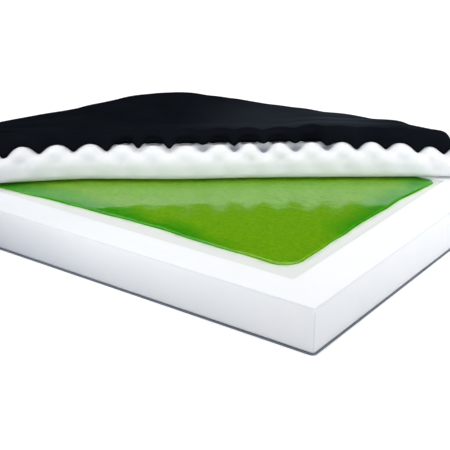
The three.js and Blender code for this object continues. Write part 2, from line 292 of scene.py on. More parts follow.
def covered_path(out, steps):
    """Points along the back side from the right corner, round the far corner and down the left side, out
    beyond the foam's faces, with their outward directions."""
    half_x, half_y, r = FOAM_X + out, FOAM_Y + out, FOAM_CORNER_R + out
    points, normals = [], []
    for i in range(steps):
        points.append((half_x - r - (2 * (half_x - r)) * i / steps, half_y))
        normals.append((0, 1))
    for i in range(CORNER_STEPS + 1):
        a = math.pi / 2 + (math.pi / 2) * i / CORNER_STEPS
        points.append((-half_x + r + r * math.cos(a), half_y - r + r * math.sin(a)))
        normals.append((math.cos(a), math.sin(a)))
    for i in range(1, steps + 1):
        points.append((-half_x, half_y - r - (2 * half_y - 2 * r) * i / steps))
        normals.append((-1, 0))
    return np.array(points), np.array(normals)


def sweep(points, normals, section):
    """A closed tube: section is a list of (out, z) beyond each path point, along its normal."""
    rows = []
    for p, n in zip(points, normals):
        for out, z in section:
            rows.append((p[0] + n[0] * out, p[1] + n[1] * out, z))
    return np.array(rows), skin(len(points), len(section))


def rounded_section(out0, out1, z0, z1, r, steps):
    """A rectangle with round corners in (out, z)."""
    low, high = z0 + r, z1 - r
    corners = ((out1 - r, low, -90), (out1 - r, high, 0), (out0 + r, high, 90), (out0 + r, low, 180))
    made = []
    for cx, cz, start in corners:
        for i in range(steps + 1):
            a = math.radians(start + 90 * i / steps)
            made.append((cx + r * math.cos(a), cz + r * math.sin(a)))
    return made


def finish_piece(piece, body, slot, *nodes):
    """Puts a piece on its body and hides the CAD nodes that it stands for. Its slot is not used."""
    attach(piece, body)
    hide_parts(*nodes)
    return piece


# ---- materials
# The colour mix node's sockets share their names with others, so they go by number.
MIX_FACTOR, MIX_A, MIX_B, MIX_RESULT = 0, 6, 7, 2
KNIT_TURN = math.radians(36.9)  # the knit runs along the fold


def connect(tree, socket, value):
    """Links a socket to another node's output, or gives it a plain value."""
    if isinstance(value, bpy.types.NodeSocket):
        tree.links.new(value, socket)
    else:
        socket.default_value = value


class Nodes:
    """Short calls for building one material's node tree."""

    def __init__(self, name):
        self.material = bpy.data.materials.new(name)
        self.material.use_nodes = True
        self.tree = self.material.node_tree
        self.shader = self.tree.nodes["Principled BSDF"]

    def add(self, kind, inputs=None, **settings):
        made = self.tree.nodes.new(kind)
        for key, value in settings.items():
            setattr(made, key, value)
        for key, value in (inputs or {}).items():
            connect(self.tree, made.inputs[key], value)
        return made

    def place(self):
        return self.add("ShaderNodeTexCoord").outputs["Object"]

    def attribute(self, name):
        """A number painted on the mesh's points."""
        return self.add("ShaderNodeAttribute", attribute_name=name).outputs["Fac"]

    def noise(self, scale, detail=3, where=None, roughness=0.55):
        inputs = {"Vector": where or self.place(), "Scale": scale, "Detail": detail, "Roughness": roughness}
        return self.add("ShaderNodeTexNoise", inputs).outputs["Fac"]

    def cells(self, scale):
        return self.add("ShaderNodeTexVoronoi", {"Vector": self.place(), "Scale": scale}).outputs["Distance"]

    def wave(self, where, scale, direction):
        inputs = {"Vector": where, "Scale": scale, "Distortion": 0.4}
        return self.add("ShaderNodeTexWave", inputs, bands_direction=direction).outputs["Fac"]

    def ramp(self, factor, *stops):
        made = self.add("ShaderNodeValToRGB", {"Fac": factor})
        elements = made.color_ramp.elements
        while len(elements) < len(stops):
            elements.new(0.5)
        for element, (at, colour) in zip(elements, stops):
            element.position = at
            element.color = (*colour, 1)
        return made.outputs["Color"]

    def level(self, value, low, high, to_low=0.0, to_high=1.0):
        inputs = {"Value": value, "From Min": low, "From Max": high, "To Min": to_low, "To Max": to_high}
        return self.add("ShaderNodeMapRange", inputs).outputs["Result"]

    def spread(self, noise, to_low, to_high):
        """The middle of a noise's range, where most of it lies, brought to the range given."""
        return self.level(noise, 0.3, 0.7, to_low, to_high)

    def math(self, what, a, b):
        made = self.add("ShaderNodeMath", operation=what)
        connect(self.tree, made.inputs[0], a)
        connect(self.tree, made.inputs[1], b)
        return made.outputs["Value"]

    def times(self, a, b):
        return self.math("MULTIPLY", a, b)

    def plus(self, a, b):
        return self.math("ADD", a, b)

    def mix(self, factor, a, b):
        """Colour a where factor is 0, colour b where it is 1."""
        made = self.add("ShaderNodeMix", data_type="RGBA")
        for key, value in ((MIX_FACTOR, factor), (MIX_A, a), (MIX_B, b)):
            connect(self.tree, made.inputs[key], (*value, 1) if isinstance(value, tuple) else value)
        return made.outputs[MIX_RESULT]

    def bump(self, height, distance, strength=1.0, normal=None):
        inputs = {"Height": height, "Distance": distance, "Strength": strength}
        if normal is not None:
            inputs["Normal"] = normal
        return self.add("ShaderNodeBump", inputs).outputs["Normal"]

    def set(self, **values):
        """Sets the shader's sockets, each named with _ for a space."""
        for key, value in values.items():
            connect(self.tree, self.shader.inputs[key.replace("_", " ")], value)
        return self.material


def foam_nodes(name, light, dark, pore=900):
    """Open-cell foam: its nodes, its colour and its pores' normal."""
    n = Nodes(name)
    patches = n.noise(3.0, 4)
    grain = n.noise(pore * 0.6, 3)
    pores = n.cells(pore)
    tone = n.plus(n.spread(patches, 0.0, 0.7), n.spread(grain, -0.15, 0.3))
    colour = n.ramp(tone, (0.0, dark), (1.0, light))
    height = n.plus(n.times(pores, 0.7), n.times(grain, 0.5))
    return n, colour, n.bump(height, 0.0006, 0.6)


def base_foam_material():
    """The base's recess is painted shade, greyer than its skin and tinted green as by light thrown up from
    the gel.
    Its edges carry a thin painted shade line, and painted shade greys its sides towards the left foot."""
    white, shaded_white = (0.83, 0.84, 0.855), (0.775, 0.79, 0.81)
    left_foot_shade_grey, recess_shade_grey, edge_shade_grey = (0.40, 0.435, 0.475), (0.64, 0.66, 0.63), (0.62, 0.65, 0.69)
    n, colour, normal = foam_nodes("base_foam_white", white, shaded_white)
    cut, line = n.attribute("cut"), n.attribute("edge_shade_line")
    x, _, z = n.add("ShaderNodeSeparateXYZ", {"Vector": n.place()}).outputs
    # painted shade: the sides grow darker towards the left end and towards the foot
    left_foot_shade = n.times(n.level(x, 0.95, -0.85), n.level(z, 0.21, 0.01))
    colour = n.mix(left_foot_shade, colour, left_foot_shade_grey)
    # painted shade over the recess, tinted green as by light thrown up from the gel
    colour = n.mix(n.times(cut, 0.9), colour, recess_shade_grey)
    # a thin painted shade line along the top edges and upright corners
    colour = n.mix(n.times(line, 0.95), colour, edge_shade_grey)
    return n.set(Base_Color=colour, Roughness=0.92, Specular_IOR_Level=0.2, Normal=normal)


def crate_material():
    """The topper's foam lets some light through, which softens its shaded lower face."""
    white, shaded_white, notch_shadow_grey = (0.715, 0.722, 0.735), (0.67, 0.68, 0.695), (0.09, 0.12, 0.165)
    n, colour, normal = foam_nodes("egg_crate_white", white, shaded_white, 700)
    # painted shadow deep in the notches under the cover's hem
    colour = n.mix(n.times(n.attribute("notch"), 0.85), colour, notch_shadow_grey)
    return n.set(Base_Color=colour, Roughness=0.92, Specular_IOR_Level=0.2, Normal=normal,
                 Subsurface_Weight=0.7, Subsurface_Radius=(1, 1, 1), Subsurface_Scale=0.04)


def gel_material():
    """Yellow-green gel, mottled and flecked, with a deeper green along its edges, under glossy film."""
    deep, middle, pale = (0.080, 0.270, 0.0012), (0.125, 0.330, 0.0016), (0.210, 0.400, 0.008)
    rim_dark, rim_light = (0.016, 0.215, 0.0005), (0.050, 0.300, 0.001)
    n = Nodes("gel_green")
    near_edge = n.attribute("edge")
    patches = n.noise(6.0, 4, roughness=0.6)
    blotches = n.noise(60.0, 4, roughness=0.7)
    grain = n.noise(330.0, 3, roughness=0.7)
    flecks = n.cells(420.0)
    uneven_edge = n.plus(near_edge, n.spread(patches, -0.25, 0.25))
    mottle = n.plus(n.times(blotches, 0.6), n.times(grain, 0.4))
    body = n.ramp(mottle, (0.30, deep), (0.50, middle), (0.72, pale))
    rim = n.ramp(grain, (0.3, rim_dark), (0.7, rim_light))
    colour = n.mix(n.level(uneven_edge, 0.15, 0.75), rim, body)
    height = n.plus(n.times(grain, 0.6), n.times(flecks, 0.4))
    fine = n.bump(height, 0.00014, 0.5)
    broad = n.bump(n.noise(40.0, 3), 0.0006, 0.3, fine)
    return n.set(Base_Color=colour, Roughness=n.spread(blotches, 0.10, 0.16), Specular_IOR_Level=0.38,
                 Subsurface_Weight=0.9, Subsurface_Radius=(0.5, 1.0, 0.1), Subsurface_Scale=0.05,
                 Coat_Weight=0.12, Coat_Roughness=0.05, Coat_Normal=broad, Normal=broad)


def film_material():
    n = Nodes("gel_film_edge")
    grain = n.noise(240.0, 3)
    colour = n.ramp(grain, (0.3, (0.66, 0.80, 0.54)), (0.7, (0.78, 0.88, 0.68)))
    return n.set(Base_Color=colour, Roughness=0.22, Coat_Weight=0.6, Coat_Roughness=0.12,
                 Normal=n.bump(grain, 0.0006, 0.5))


def knit(n, pitch):
    """Height of a knit: small rounded wales along one way, crossed by finer courses."""
    where = n.place()
    turned = n.add("ShaderNodeMapping", {"Vector": where, "Rotation": (0, 0, KNIT_TURN)}).outputs["Vector"]
    wales = n.wave(turned, 1 / pitch / 3.18, "X")
    courses = n.wave(turned, 1 / pitch / 2.1, "Y")
    return n.plus(n.times(wales, courses), n.times(n.noise(700.0, 2), 0.35))


def cover_material():
    """A matt knit, nearly black, with painted sheen lighter on the top and on the borders' ripples."""
    black, lighter_black = (0.0036, 0.0050, 0.0072), (0.0062, 0.0078, 0.0108)
    sheen_and_cord_grey = (0.029, 0.036, 0.046)
    n = Nodes("cover_knit")
    height = knit(n, 0.0016)
    shade = n.plus(n.times(height, 0.4), n.spread(n.noise(5.0, 3), 0.0, 0.5))
    colour = n.ramp(shade, (0.1, black), (0.9, lighter_black))
    # painted sheen and highlights on the cover and the borders' ripples; on the piping, the cord's own
    # lighter tone
    colour = n.mix(n.attribute("sheen_and_cord_tone"), colour, sheen_and_cord_grey)
    return n.set(Base_Color=colour, Roughness=0.7, Specular_IOR_Level=0.0, Sheen_Weight=0.001,
                 Sheen_Roughness=0.30, Sheen_Tint=(0.72, 0.82, 1.0, 1), Normal=n.bump(height, 0.0004, 0.5))


def woven_material(name, light, dark, pitch=0.0011):
    n = Nodes(name)
    height = knit(n, pitch)
    shade = n.plus(n.times(height, 0.6), n.spread(n.noise(9.0, 3), 0.0, 0.3))
    colour = n.ramp(shade, (0.1, dark), (0.9, light))
    return n.set(Base_Color=colour, Roughness=0.8, Specular_IOR_Level=0.2, Sheen_Weight=0.1,
                 Normal=n.bump(height, 0.0004, 0.8))


def nylon_material():
    n = Nodes("zip_nylon")
    grain = n.noise(500.0, 2)
    colour = n.ramp(grain, (0.3, (0.120, 0.142, 0.180)), (0.7, (0.190, 0.218, 0.262)))
    return n.set(Base_Color=colour, Roughness=n.spread(grain, 0.3, 0.5), Normal=n.bump(grain, 0.0001, 0.4))


def metal_material():
    """Brushed nickel, duller in patches."""
    n = Nodes("zip_nickel")
    along_zip = n.add("ShaderNodeMapping", {"Vector": n.place(), "Scale": (0.15, 1, 1)}).outputs["Vector"]
    brushed = n.noise(2600.0, 3, along_zip)
    wear = n.noise(260.0, 3)
    colour = n.ramp(wear, (0.35, (0.30, 0.30, 0.31)), (0.6, (0.52, 0.52, 0.54)))
    return n.set(Base_Color=colour, Metallic=1.0, Roughness=n.spread(brushed, 0.25, 0.42),
                 Normal=n.bump(brushed, 0.00005, 0.4))


def floor_material():
    n = Nodes("floor_pale")
    grain = n.noise(2.0, 2)
    colour = n.ramp(grain, (0.3, (0.86, 0.86, 0.865)), (0.7, (0.88, 0.88, 0.885)))
    return n.set(Base_Color=colour, Roughness=0.95, Specular_IOR_Level=0.0,
                 Emission_Color=(1, 1, 1, 1), Emission_Strength=0.22)


FOAM = base_foam_material()
CRATE = crate_material()
GEL = gel_material()
FILM = film_material()
COVER = cover_material()
BOTTOM = woven_material("cover_bottom_slate", (0.270, 0.310, 0.365), (0.190, 0.222, 0.268))
TAPE = woven_material("zip_tape_slate", (0.300, 0.340, 0.395), (0.215, 0.248, 0.295), 0.0008)
NYLON = nylon_material()
METAL = metal_material()


# ---- base foam
EDGE_R, LIP_R, SIDE_CORNER_R = 0.008, 0.005, 0.006  # the block's edges, the recess's, and upright corners
RECESS_X, RECESS_Y = FOAM_X - RIM_ENDS, FOAM_Y - RIM_SIDES
SIDE_ROWS, RIM_ROWS = 8, 6


def base_foam_rings():
    """From the middle of the underside out, up the sides, over the rim and down into the recess."""
    side = (FOAM_X, FOAM_Y, SIDE_CORNER_R)
    soft_edge = (FOAM_X - EDGE_R, FOAM_Y - EDGE_R, SIDE_CORNER_R)
    z0, z1 = FOAM_LO.z, BASE_TOP
    floor_z = z1 - RECESS_DEPTH
    rings = inward(*side, z0)[::-1]
    rings += arc_rings(*soft_edge, z0 + EDGE_R, EDGE_R, -90, 0)
    rings += [(*side, z0 + EDGE_R + (z1 - z0 - 2 * EDGE_R) * i / SIDE_ROWS) for i in range(1, SIDE_ROWS)]
    rings += arc_rings(*soft_edge, z1 - EDGE_R, EDGE_R, 0, 90)
    for i in range(1, RIM_ROWS):
        t = i / RIM_ROWS
        cut_x = EDGE_R + (RIM_ENDS - EDGE_R - LIP_R) * t
        cut_y = EDGE_R + (RIM_SIDES - EDGE_R - LIP_R) * t
        rings.append((FOAM_X - cut_x, FOAM_Y - cut_y, FOAM_CORNER_R, z1))
    rings += arc_rings(RECESS_X + LIP_R, RECESS_Y + LIP_R, RECESS_R + LIP_R, z1 - LIP_R, LIP_R, 90, 180)
    rings += arc_rings(RECESS_X - LIP_R, RECESS_Y - LIP_R, RECESS_R - LIP_R, floor_z + LIP_R, LIP_R, 0, -90)
    rings += inward(RECESS_X - LIP_R, RECESS_Y - LIP_R, RECESS_R, floor_z)
    return rings


def base_edge_shade_line(x, y, z, from_side):
    """1 along a thin painted shade line just under the block's top edges and down its upright corners."""
    below_top = (BASE_TOP - z) / EDGE_R
    top_line = np.where(from_side < EDGE_R, hump(below_top, 0.35, 0.30), 0)
    angle = np.arctan2(np.abs(y) - FOAM_Y + SIDE_CORNER_R, np.abs(x) - FOAM_X + SIDE_CORNER_R)
    at_corner = (np.abs(x) > FOAM_X - SIDE_CORNER_R) & (np.abs(y) > FOAM_Y - SIDE_CORNER_R)
    corner_line = np.where(at_corner, hump(angle, math.pi / 4, 0.40), 0)
    return np.maximum(top_line, corner_line)


def base_foam():
    """The foam block, its sides a little uneven."""
    points, faces = ringed(base_foam_rings(), straight=64, corner=8)
    x, y, z = points.T
    from_side = inside(x, y, FOAM_X, FOAM_Y, SIDE_CORNER_R)
    dents = ripple(points, 0.35, 3) * 0.0006
    on_side = (z > FOAM_LO.z + EDGE_R) & (z < BASE_TOP - EDGE_R) & (from_side < 0.02)
    points[:, 0] += np.where(on_side, np.sign(x) * dents * (np.abs(x) > FOAM_X - 0.01), 0)
    points[:, 1] += np.where(on_side, np.sign(y) * dents * (np.abs(y) > FOAM_Y - 0.01), 0)
    piece = solid("foam_base", points, faces, FOAM)
    in_recess = inside(x, y, RECESS_X + LIP_R, RECESS_Y + LIP_R, RECESS_R + LIP_R)
    # painted shade: 1 over the recess's walls and floor
    paint(piece, "cut", np.where(z > BASE_TOP / 2, smooth(in_recess / (2.8 * LIP_R)), 0))
    # painted shade line along the top edges and upright corners
    paint(piece, "edge_shade_line", base_edge_shade_line(x, y, z, from_side))
    finish_piece(piece, "root", "base_foam", "base_foam")


# ---- gel pad
GEL_HALF_X = (GEL_HI.x - GEL_LO.x) / 2 - FILM_FLANGE
GEL_HALF_Y = (GEL_HI.y - GEL_LO.y) / 2 - FILM_FLANGE
GEL_MIDDLE_Y = (GEL_HI.y + GEL_LO.y) / 2
GEL_SHARES = (1.2, 0.35, 0.35, 0.5)  # each corner's share of GEL_R
GEL_FOOT_R, GEL_SLOPE = 0.002, 0.007  # the radius at its foot, and how far its side leans in
GEL_SIDE_ROWS, GEL_TOP_ROWS = 9, 60
GEL_LOOP = {"straight": 110, "corner": 12, "shares": GEL_SHARES}


def gel_outline(points):
    """Moves an even outline's points, round the pad's own middle, to the pad's slightly wavy one."""
    x, y = points[:, 0].copy(), points[:, 1].copy()
    wave = ripple(np.column_stack([x, y, np.zeros(len(x))]), 0.20, 11) * 0.0035
    near = np.clip(-y / GEL_HALF_Y, 0, 1) ** 3
    near_bow = 0.006 * np.cos((x - 0.1) * 4)
    left_end_out = 0.030 * np.clip(-x / GEL_HALF_X, 0, 1) ** 1.5
    points[:, 1] += near * (wave - 0.004 + near_bow - left_end_out)
    right = np.clip(x / GEL_HALF_X, 0, 1) ** 3
    right_bow = 0.004 * np.sin(y * 5)
    far_end_out = 0.026 * smooth((y - 0.2) / 0.4)
    points[:, 0] += right * (wave + 0.009 + right_bow + far_end_out)
    points[:, 1] += GEL_MIDDLE_Y
    return points


def gel_rings():
    """From the middle of the pad's underside, round its foot and up its leaning side to its top."""
    z0, z1 = GEL_LO.z, GEL_HI.z
    foot_z = z0 + GEL_FOOT_R
    foot = (GEL_HALF_X - GEL_FOOT_R, GEL_HALF_Y - GEL_FOOT_R)
    rings = inward(*foot, GEL_R, z0)[::-1]
    rings += arc_rings(*foot, GEL_R - GEL_FOOT_R, foot_z, GEL_FOOT_R, -90, 0, 3)
    rise = z1 - z0 - GEL_FOOT_R
    for i in range(1, GEL_SIDE_ROWS + 1):
        t = i / GEL_SIDE_ROWS
        cut = GEL_SLOPE * t
        height = rise * math.sin(t * math.pi / 2) ** 0.8
        rings.append((GEL_HALF_X - cut, GEL_HALF_Y - cut, GEL_R - cut, foot_z + height))
    for i in range(1, GEL_TOP_ROWS + 1):
        t = i / GEL_TOP_ROWS
        cut = GEL_SLOPE + (GEL_HALF_Y - 0.02 - GEL_SLOPE) * t
        rings.append((GEL_HALF_X - cut, GEL_HALF_Y - cut, max(GEL_R * (1 - t), 0.01), z1))
    return rings


def gel_sink(points, edge):
    """How far the film over the gel sinks: unevenly along the edge, and in low lumps all over."""
    pillow = 0.0017 * (1 - smooth(edge / 0.12)) * (0.5 + 0.5 * ripple(points, 0.11, 21))
    lumps = 0.0008 * np.abs(ripple(points, 0.30, 22)) + 0.0003 * np.abs(ripple(points, 0.05, 25))
    return pillow * smooth(edge / GEL_SLOPE) + lumps


def gel_crease(points, edge):
    """How far it rises in a wandering, broken crease near the edge."""
    line = hump(edge - 0.040 - 0.010 * ripple(points, 0.20, 23), 0, 0.005)
    return line * 0.0009 * smooth(ripple(points, 0.35, 24) * 2 - 0.4)


def gel_pad():
    points, faces = ringed(gel_rings(), **GEL_LOOP)
    edge = inside(points[:, 0], points[:, 1], GEL_HALF_X, GEL_HALF_Y, GEL_R)
    top = points[:, 2] > (GEL_LO.z + GEL_HI.z) / 2
    points[:, 2] -= np.where(top, gel_sink(points, edge), 0)
    points[:, 2] += np.where(top, gel_crease(points, edge), 0)
    points = gel_outline(points)
    piece = solid("gel_pad", points, faces, GEL)
    to_corner = np.hypot(points[:, 0] - GEL_HALF_X, points[:, 1] - GEL_MIDDLE_Y + GEL_HALF_Y)
    paint(piece, "edge", np.clip(edge / 0.16 + hump(to_corner, 0, 0.30), 0, 1))
    finish_piece(piece, "gel_pad", "gel", "gel_core", "gel_film_top")


def gel_film():
    """The film's welded flange round the foot of the gel, a little wavy at its edge."""
    lo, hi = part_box("gel_film_bottom")
    half_x, half_y, r = GEL_HALF_X + FILM_FLANGE, GEL_HALF_Y + FILM_FLANGE, GEL_R + FILM_FLANGE
    half_t = (hi.z - lo.z) / 2
    rings = inward(half_x - half_t, half_y - half_t, r, lo.z)[::-1]
    rings += arc_rings(half_x - half_t, half_y - half_t, r, lo.z + half_t, half_t, -90, 90, 4)
    rings += [(half_x - cut, half_y - cut, r - cut, hi.z) for cut in (0.003, 0.006, 0.010, 0.020)]
    rings += inward(half_x - 0.020, half_y - 0.020, r - 0.020, hi.z)
    points, faces = ringed(rings, **GEL_LOOP)
    edge = inside(points[:, 0], points[:, 1], half_x, half_y, r)
    points[:, 2] += np.abs(ripple(points, 0.06, 31)) * 0.0012 * (1 - smooth(edge / 0.012))
    piece = solid("gel_film_flange", gel_outline(points), faces, FILM)
    finish_piece(piece, "gel_pad", "gel_film", "gel_film_bottom")


# ---- egg-crate topper
def bump_count(u):
    """Which bump of the crest row is at u, a whole number at each peak. Their spacing is slightly uneven."""
    uneven = 0.09 * hump(u, -0.17, 0.15) + 0.09 * hump(u, 0.27, 0.13)
    uneven = uneven - 0.10 * hump(u, 0.92, 0.08)
    return BUMP_AT_0 + BUMPS_PER_M * u + BUMP_STRETCH * u * u + uneven


def bump_wave(u, w):
    """1 on the peaks, 0 in the valleys; w is the distance across the rows from the crest row."""
    wave = np.cos(2 * math.pi * bump_count(u)) * np.cos(math.pi * w / BUMP_ROW)
    return np.clip(0.5 + 0.5 * wave, 0, 1)


def bump_depth(u, w):
    """How far the egg-crate surface lies below its peaks. The notches between the crest's bumps fade out
    down the roll's front face, which is pressed nearly flat."""
    sharpness = 0.5 + 0.3 * smooth((-w - 0.015) / 0.05)
    height = bump_wave(u, w) ** sharpness
    flattened = smooth((-w - 0.026) / 0.050) * (1 - smooth((-w - 0.125) / 0.030))
    deeper_left = 0.50 * smooth((-u - 0.66) / 0.20)
    shallower_middle = 0.22 * hump(u, -0.10, 0.22)
    deeper_right = 0.35 * hump(u, 0.28, 0.12)
    local = 1 + deeper_left - shallower_middle + deeper_right
    return BUMP_DEPTH * local * (1 - 0.93 * flattened) * (1 - height)


def notch_shade(u, w):
    """1 deep in the notches under the part of the hem that bridges them, where little light gets in."""
    height = bump_wave(u, w) ** 0.5
    under_hem = smooth((w + 0.020) / 0.036) * (1 - smooth((w - 0.045) / 0.010))
    bridged = smooth((u + 0.25) / 0.35) * (1 - smooth((u - 0.56) / 0.08))
    return smooth((0.85 - height) / 0.55) * under_hem * bridged


def fold_shift(u):
    """The fold isn't quite straight: its left end and its middle lie nearer the viewer."""
    left_end = 0.055 * smooth((-u - 0.45) / 0.55)
    middle = 0.012 * hump(u, -0.13, 0.26)
    return -left_end - middle


def crest_drop(u):
    """How far the crest lies below its full height: a little in the middle, more at both ends."""
    middle = 0.008 * hump(u, -0.12, 0.26)
    right_end = 0.026 * smooth((u - 0.76) / 0.26)
    left_end = 0.010 * smooth((-u - 0.75) / 0.4)
    return middle + right_end + left_end


def near_fold(v):
    """1 at the roll, 0 well behind it, where the fold's bend and drop are no longer felt."""
    return 1 - smooth((v - FOLD_V - 0.06) / 0.15)


def topper_surface(u, v):
    """Height of the folded flap's bumpy top."""
    near = near_fold(v)
    return CREST_Z - crest_drop(u) * near - bump_depth(u, v - fold_shift(u) * near - AXIS_V)


# How many points one cut through the folded topper has on the lower sheet, round the roll and on the flap
LOW_POINTS, ROLL_POINTS, FLAP_POINTS = 60, 56, 84
TOPPER_COLUMNS, TOPPER_U0, TOPPER_U1 = 330, -1.140, 1.118
SHEET_GAP = 0.0006  # half the gap between the folded sheet's two layers
LEAST_T = 0.006  # how thin the cover may press the topper
COVER_CLEARANCE = 0.0015


def roll_shape():
    """Angles from under the roll to over it, and how far out and up each lies, as shares of its radius."""
    arc = np.linspace(0, math.pi, ROLL_POINTS, endpoint=False)
    squareness = np.where(arc < math.pi / 2, LOWER_ROLL_SQUARE, 1.0)
    out = np.sin(arc) ** squareness
    up = -np.sign(np.cos(arc)) * np.abs(np.cos(arc)) ** squareness
    return arc, out, up


def topper_column(u, end, flap_end):
    """One cut through the folded sheet: its points (u, v, z) and their notch shade. They run along the
    outside from the lower sheet's far end round the roll to the flap's end, and back along the inside."""
    arc, out, up = roll_shape()
    v_low = np.linspace(end, AXIS_V, LOW_POINTS, endpoint=False)
    v_flap = AXIS_V + (flap_end - AXIS_V) * np.linspace(0, 1, FLAP_POINTS) ** 1.6
    half_turn = math.pi * ROLL_NEUTRAL_R
    w = np.concatenate([AXIS_V - v_low - half_turn, arc * ROLL_NEUTRAL_R - half_turn, v_flap - AXIS_V])
    depth = bump_depth(u, w)
    d_low, d_arc = depth[:LOW_POINTS], depth[LOW_POINTS:LOW_POINTS + ROLL_POINTS]
    near_low, near_flap = near_fold(v_low), near_fold(v_flap)
    shift = fold_shift(u)
    squash = 1 - crest_drop(u) / (2 * TOPPER_T)
    v_low, v_flap = v_low + shift * near_low, v_flap + shift * near_flap

    v_out = np.concatenate([v_low, AXIS_V + shift - (ROLL_REACH - d_arc) * out, v_flap])
    z_arc = TOPPER_LO.z + (TOPPER_T + (TOPPER_T - d_arc) * up) * squash
    z_out = np.concatenate([TOPPER_LO.z + d_low, z_arc, topper_surface(u, v_flap)])
    v_in = np.concatenate([v_low, AXIS_V + shift - SHEET_GAP * np.sin(arc), v_flap])
    near = np.concatenate([near_low, np.ones(ROLL_POINTS), near_flap])
    side = np.concatenate([-np.ones(LOW_POINTS), -np.cos(arc), np.ones(FLAP_POINTS)])
    z_in = TOPPER_LO.z + TOPPER_T * (1 - (1 - squash) * near) + SHEET_GAP * side

    along = np.full_like(v_out, u)
    ceiling = cover_top(along, v_out) - COVER_CAD_T - COVER_CLEARANCE
    pressed = v_out > COVER_FRONT_V - 0.004
    on_flap = np.arange(len(z_out)) >= LOW_POINTS + ROLL_POINTS
    z_out = np.where(pressed & on_flap, np.minimum(z_out, ceiling), z_out)
    z_in = np.where(pressed, np.minimum(z_in, ceiling - np.where(on_flap, LEAST_T, 0)), z_in)
    z_out[:LOW_POINTS] = np.minimum(z_out[:LOW_POINTS], z_in[:LOW_POINTS] - LEAST_T)
    outer = np.column_stack([along, v_out, z_out])
    inner = np.column_stack([along, v_in, z_in])[::-1]
    return np.concatenate([outer, inner]), np.concatenate([notch_shade(u, w), np.zeros(len(w))])


def topper():
    """The egg-crate sheet, folded over along the diagonal."""
    us = np.linspace(TOPPER_U0, TOPPER_U1, TOPPER_COLUMNS)
    far = reach(us, FOAM_X - TOPPER_INSET, FOAM_Y - TOPPER_INSET, TOPPER_R)
    far = np.maximum(far, AXIS_V + 0.012)
    flap_far = np.maximum(np.minimum(far, flap_edge(us)), AXIS_V + 0.010)
    cuts = [topper_column(*place) for place in zip(us, far, flap_far)]
    points = np.concatenate([cut for cut, _ in cuts])
    x, y = from_fold(points[:, 0], points[:, 1])
    points = np.column_stack([x, y, points[:, 2]])
    count = len(cuts[0][0])
    faces = skin(TOPPER_COLUMNS, count, cap_ends=False)
    for base, flip in ((0, False), ((TOPPER_COLUMNS - 1) * count, True)):
        for j in range(count // 2 - 1):
            quad = (base + j, base + j + 1, base + count - 2 - j, base + count - 1 - j)
            faces.append(quad if not flip else quad[::-1])
    piece = solid("egg_crate_topper", points, faces, CRATE)
    # painted shadow in the notches under the hem
    paint(piece, "notch", np.concatenate([shade for _, shade in cuts]))
    finish_piece(piece, "topper", "topper_foam", "topper_foam")


# ---- cover
def thicken(grid, thickness):
    """A closed sheet round a grid of mid-surface points (columns, rows, 3)."""
    du = np.gradient(grid, axis=0)
    dv = np.gradient(grid, axis=1)
    normal = np.cross(du, dv)
    normal /= np.maximum(np.linalg.norm(normal, axis=2, keepdims=True), 1e-9)
    columns, rows = grid.shape[:2]
    upper, lower = grid + normal * thickness / 2, grid - normal * thickness / 2
    points = np.concatenate([upper.reshape(-1, 3), lower.reshape(-1, 3)])
    layer = columns * rows
    faces = []
    for i in range(columns - 1):
        for j in range(rows - 1):
            a, b = i * rows + j, (i + 1) * rows + j
            faces.append((a, b, b + 1, a + 1))
            faces.append((layer + a, layer + a + 1, layer + b + 1, layer + b))
    rim = [i * rows for i in range(columns)] + [(columns - 1) * rows + j for j in range(1, rows)]
    rim += [i * rows + rows - 1 for i in range(columns - 2, -1, -1)] + [j for j in range(rows - 2, 0, -1)]
    for a, b in zip(rim, rim[1:] + rim[:1]):
        faces.append((b, a, layer + a, layer + b))
    return points, faces


# How many points one cut through the cover has in the tuck, round the hem, up the lip and over the top
TUCK_POINTS, TURN_POINTS, LIP_POINTS, TOP_POINTS = 30, 8, 24, 120
COVER_COLUMNS, COVER_END_CUT = 420, 0.024
HEM_TURN = 0.0035  # the hem's radius
LIP_DEPTH = 0.040  # how far behind the hem the lip ends
CLOTH_GAP = 0.001


def hem_place(u):
    """Where the cover's folded front edge lies: (v, z). It follows the crest's bumps, and bridges them in
    the middle, where it hangs less far into some valleys than into others."""
    valley = (0.5 - 0.5 * np.cos(2 * math.pi * bump_count(u))) ** 1.5
    lifted = smooth((u + 0.44) / 0.12) * (1 - smooth((u - 0.46) / 0.12))
    back = 0.018 - 0.013 * valley + lifted * (0.026 - 0.016 * valley)
    v = AXIS_V + fold_shift(u) + back
    resting = topper_surface(u, v) + COVER_T / 2 + CLOTH_GAP
    bridge = CREST_Z + 0.023 - crest_drop(u) * 0.5
    shallow = 0.40 * smooth((u - 0.05) / 0.20) + 0.45 * hump(u, -0.01, 0.06)
    dip = 0.041 * (1 - shallow) * valley**2
    z = resting + (np.maximum(bridge - dip, resting) - resting) * lifted
    return v, z


def crease(u, v, start, end, width, height):
    """A soft fold along a slightly curved line in the fold's frame, fading out at both ends, with a shallow
    trough beside it."""
    (u0, v0), (u1, v1) = start, end
    du, dv = u1 - u0, v1 - v0
    length = math.hypot(du, dv)
    along = ((u - u0) * du + (v - v0) * dv) / length**2
    across = ((u - u0) * dv - (v - v0) * du) / length - 0.02 * np.sin(along * 3.0)
    fade = smooth(along / 0.2) * smooth((1 - along) / 0.6)
    return height * fade * (hump(across, 0, width) - 0.5 * hump(across, 1.6 * width, width))


# Each crease's start (u, v), end (u, v), width and height
CREASES = (
    ((1.02, 0.150), (0.10, 0.185), 0.018, 0.0085),
    ((1.00, 0.190), (0.20, 0.270), 0.022, 0.0095),
    ((0.98, 0.230), (0.35, 0.420), 0.024, 0.0090),
    ((0.90, 0.270), (0.40, 0.600), 0.026, 0.0075),
    ((-1.00, 0.140), (-0.35, 0.200), 0.020, 0.0050),
    ((-0.95, 0.200), (-0.40, 0.420), 0.026, 0.0045),
    ((-0.30, 0.170), (0.35, 0.230), 0.024, 0.0040),
)


